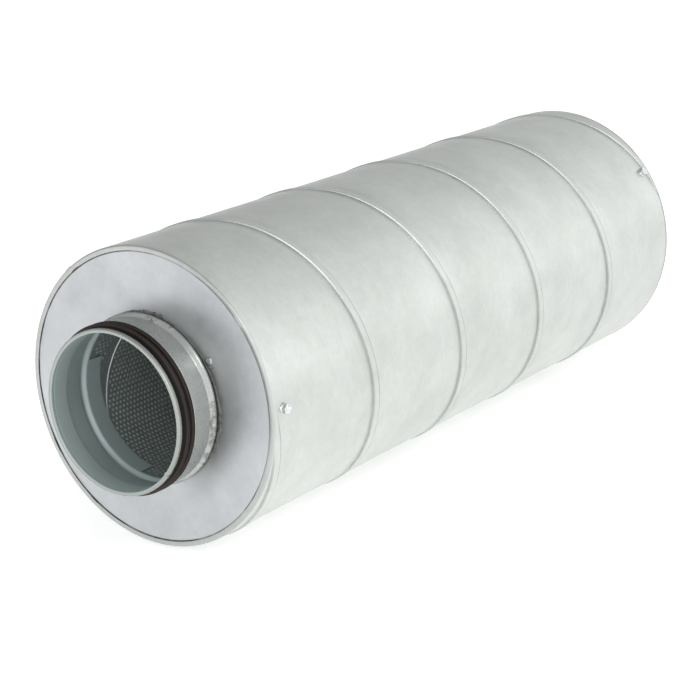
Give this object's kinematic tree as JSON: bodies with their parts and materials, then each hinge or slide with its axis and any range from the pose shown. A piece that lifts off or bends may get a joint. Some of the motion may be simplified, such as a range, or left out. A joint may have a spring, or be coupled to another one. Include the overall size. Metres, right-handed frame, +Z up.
{
  "type": "duct sound attenuator",
  "caption": "Round in-line duct silencer: spiral-seam steel casing packed with mineral wool round a perforated air tube, with a rubber-sealed push-in collar at each end.",
  "frame": {"origin": "on the duct axis, half-way between the two end caps", "axes": "+X along the duct axis, out of the rear end; the end in the picture's foreground is at -X; +Z up"},
  "size_m": [0.6774, 0.2322, 0.2322],
  "materials": {
    "galvanised_casing": "hot-dip galvanised, fine mottled spangle, semi-matt",
    "galvanised_cap": "galvanised sheet, smooth, lightly smudged",
    "galvanised_collar": "galvanised sheet, drawn, semi-bright",
    "seal_rubber": "soft moulded rubber, satin",
    "perforated_steel": "perforated galvanised sheet",
    "glass_fleece": "thin non-woven fleece",
    "mineral_wool": "bonded mineral wool",
    "zinc_screws": "bright zinc plate",
    "rivet_steel": "dull plated steel",
    "joint_sealant": "cured grey sealant"
  },
  "bodies": {
    "root": {"outer_casing": "galvanised_casing", "front_end_cap": "galvanised_cap", "rear_end_cap": "galvanised_cap", "front_spigot": "galvanised_collar", "rear_spigot": "galvanised_collar", "front_lip_seal": "seal_rubber", "rear_lip_seal": "seal_rubber", "perforated_tube": "perforated_steel", "fleece_wrap": "glass_fleece", "upper_wool_shell": "mineral_wool", "lower_wool_shell": "mineral_wool", "front_casing_screws": "zinc_screws", "rear_casing_screws": "zinc_screws", "front_spigot_rivets": "rivet_steel", "rear_spigot_rivets": "rivet_steel", "front_spigot_sealant": "joint_sealant", "rear_spigot_sealant": "joint_sealant"}
  },
  "joints": []
}
